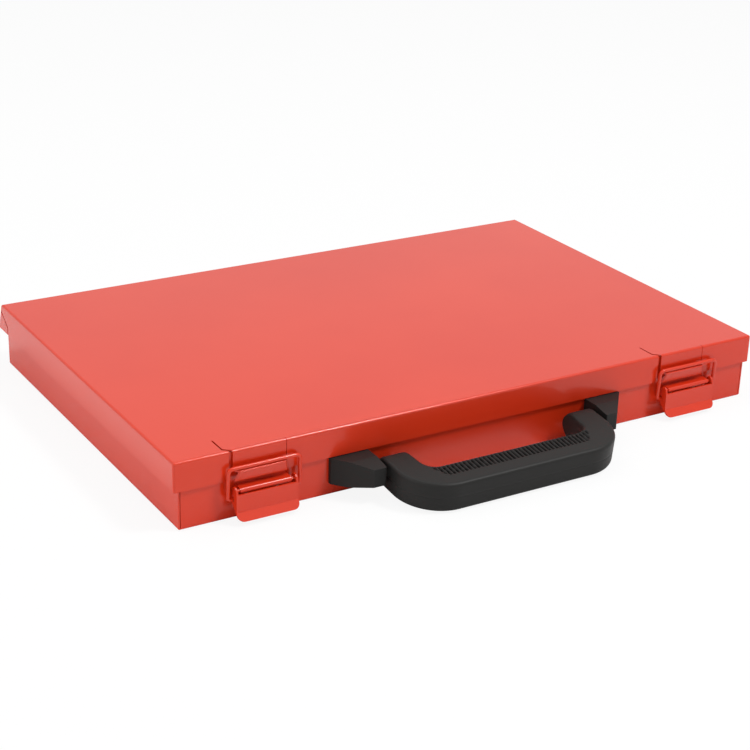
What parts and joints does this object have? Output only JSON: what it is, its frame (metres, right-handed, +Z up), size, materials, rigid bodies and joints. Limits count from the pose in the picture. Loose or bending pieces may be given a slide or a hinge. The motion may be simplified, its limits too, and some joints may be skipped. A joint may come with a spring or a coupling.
{
  "type": "drill bit case",
  "caption": "Flat sheet-steel case for twist drills with a rear-hinged lapped lid, lever latches with wire bails, a swinging carry handle and notched rails inside.",
  "frame": {"origin": "centre of the base tray's flat underside, which rests on the table", "axes": "+X to the right as the latches are faced, +Y from the latches to the rear hinge, +Z up through the lid"},
  "size_m": [0.34, 0.2691, 0.035],
  "materials": {
    "red_paint": "gloss",
    "dark_plastic": "satin",
    "bright_steel": "satin"
  },
  "bodies": {
    "base": {"base_tray": "red_paint", "hinge_leaf_base": "red_paint", "hinge_pin": "bright_steel", "latch_bracket_left": "red_paint", "latch_bracket_right": "red_paint", "latch_pin_left": "red_paint", "latch_pin_right": "red_paint", "latch_rivets_left": "bright_steel", "latch_rivets_right": "bright_steel", "handle_block_left": "dark_plastic", "handle_block_right": "dark_plastic", "handle_backing_plate_left": "bright_steel", "handle_backing_plate_right": "bright_steel", "handle_pin_left": "bright_steel", "handle_pin_right": "bright_steel", "handle_screws": "bright_steel", "rail_large_shanks": "red_paint", "rail_large_tips": "red_paint", "rail_small_shanks": "red_paint", "rail_small_tips": "red_paint"},
    "lid": {"lid_shell": "red_paint", "lid_catch_left": "red_paint", "lid_catch_right": "red_paint", "hinge_leaf_lid": "red_paint"},
    "lever_left": {"latch_lever_left": "red_paint"},
    "lever_right": {"latch_lever_right": "red_paint"},
    "bail_left": {"latch_bail_left": "red_paint"},
    "bail_right": {"latch_bail_right": "red_paint"},
    "handle": {"handle_bow": "dark_plastic"}
  },
  "joints": [
    {"name": "lid_hinge", "type": "hinge", "parent": "base", "child": "lid", "pos_m": [0, 0.1118, 0.0201], "axis": [-1, 0, 0], "range_deg": [0, 120]},
    {"name": "lever_left_turn", "type": "hinge", "parent": "base", "child": "lever_left", "pos_m": [-0.1253, -0.1135, 0.0157], "axis": [-1, 0, 0], "range_deg": [0, 120], "deforming": ["lid_catch_left"]},
    {"name": "lever_right_turn", "type": "hinge", "parent": "base", "child": "lever_right", "pos_m": [0.1253, -0.1135, 0.0157], "axis": [-1, 0, 0], "range_deg": [0, 120], "deforming": ["lid_catch_right"]},
    {"name": "bail_left_turn", "type": "hinge", "parent": "lever_left", "child": "bail_left", "pos_m": [-0.1253, -0.1122, 0.0113], "axis": [1, 0, 0], "range_deg": [0, 180]},
    {"name": "bail_right_turn", "type": "hinge", "parent": "lever_right", "child": "bail_right", "pos_m": [0.1253, -0.1122, 0.0113], "axis": [1, 0, 0], "range_deg": [0, 180]},
    {"name": "handle_swing", "type": "hinge", "parent": "base", "child": "handle", "pos_m": [-0.004, -0.121, 0.01125], "axis": [-1, 0, 0], "range_deg": [0, 96]}
  ],
  "couplings": [
    {"joint": "bail_left_turn", "follows": "lever_left_turn", "ratio": 1.5},
    {"joint": "bail_right_turn", "follows": "lever_right_turn", "ratio": 1.5}
  ]
}
